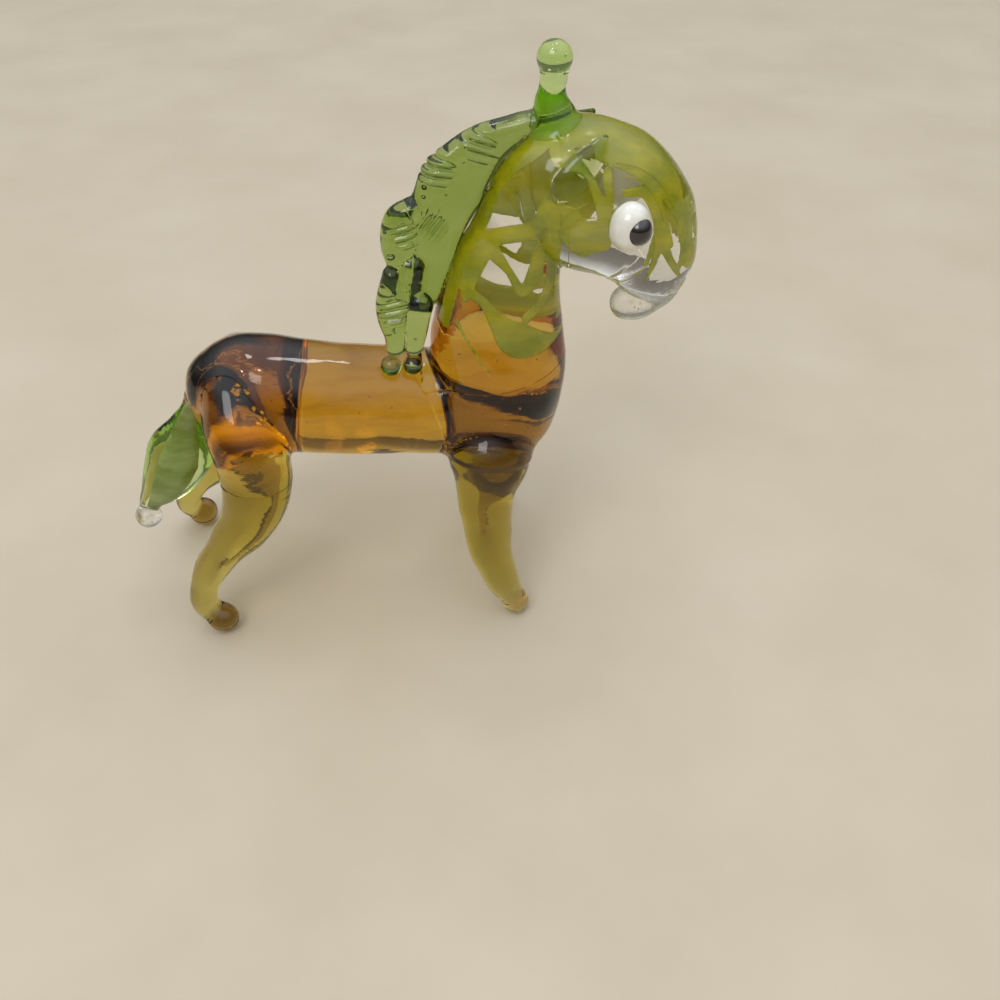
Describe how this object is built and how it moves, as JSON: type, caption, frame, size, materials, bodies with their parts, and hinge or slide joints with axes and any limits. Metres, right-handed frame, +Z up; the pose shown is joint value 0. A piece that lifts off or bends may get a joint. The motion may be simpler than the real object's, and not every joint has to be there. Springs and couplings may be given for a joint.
{
  "type": "glass animal figurine",
  "caption": "Small standing horse worked from coloured glass: amber body, arched striped neck, curled muzzle, green mane and pale green tail.",
  "frame": {"origin": "on the table, under the middle of the horse's bounding box", "axes": "+X towards the head, +Y to the horse's left, +Z up"},
  "size_m": [0.072, 0.0264, 0.0707],
  "materials": {
    "amber": "clear amber glass, flame polished",
    "olive": "amber glass fading to olive, flame polished",
    "olive_foot": "dark olive glass, flame polished",
    "gold_foot": "golden glass, flame polished",
    "clear": "clear colourless glass, flame polished",
    "strand": "yellow-green glass, nearly opaque",
    "green": "clear leaf-green glass, pressed with ridges",
    "pale_green": "pale green glass, flame polished",
    "frosted": "clear glass with fine bubbles",
    "ribbon": "yellow-green and white ribbon glass",
    "white": "opaque white glass, glossy",
    "black": "opaque black glass, glossy"
  },
  "bodies": {
    "root": {"torso": "amber", "chest": "amber", "neck_core": "clear", "neck_casing": "clear", "neck_strands": "strand", "head_core": "clear", "head_casing": "clear", "head_strands": "strand", "muzzle": "clear", "muzzle_curl": "frosted", "forelock": "pale_green", "forelock_bead": "pale_green", "mane_crest": "green", "mane_lobe_upper": "green", "mane_lobe_middle": "green", "mane_lobe_lower": "green", "mane_root": "green", "mane_drops": "green", "tail_casing": "pale_green", "tail_ribbon": "ribbon", "tail_bead": "frosted", "eye_white_right": "white", "pupil_right": "black", "ear_right": "green", "hind_thigh_right": "amber", "hind_shank_right": "olive", "hind_foot_right": "olive_foot", "foreleg_right": "olive", "front_foot_right": "gold_foot", "eye_white_left": "white", "pupil_left": "black", "ear_left": "green", "hind_thigh_left": "amber", "hind_shank_left": "olive", "hind_foot_left": "olive_foot", "foreleg_left": "olive", "front_foot_left": "gold_foot"}
  },
  "joints": []
}
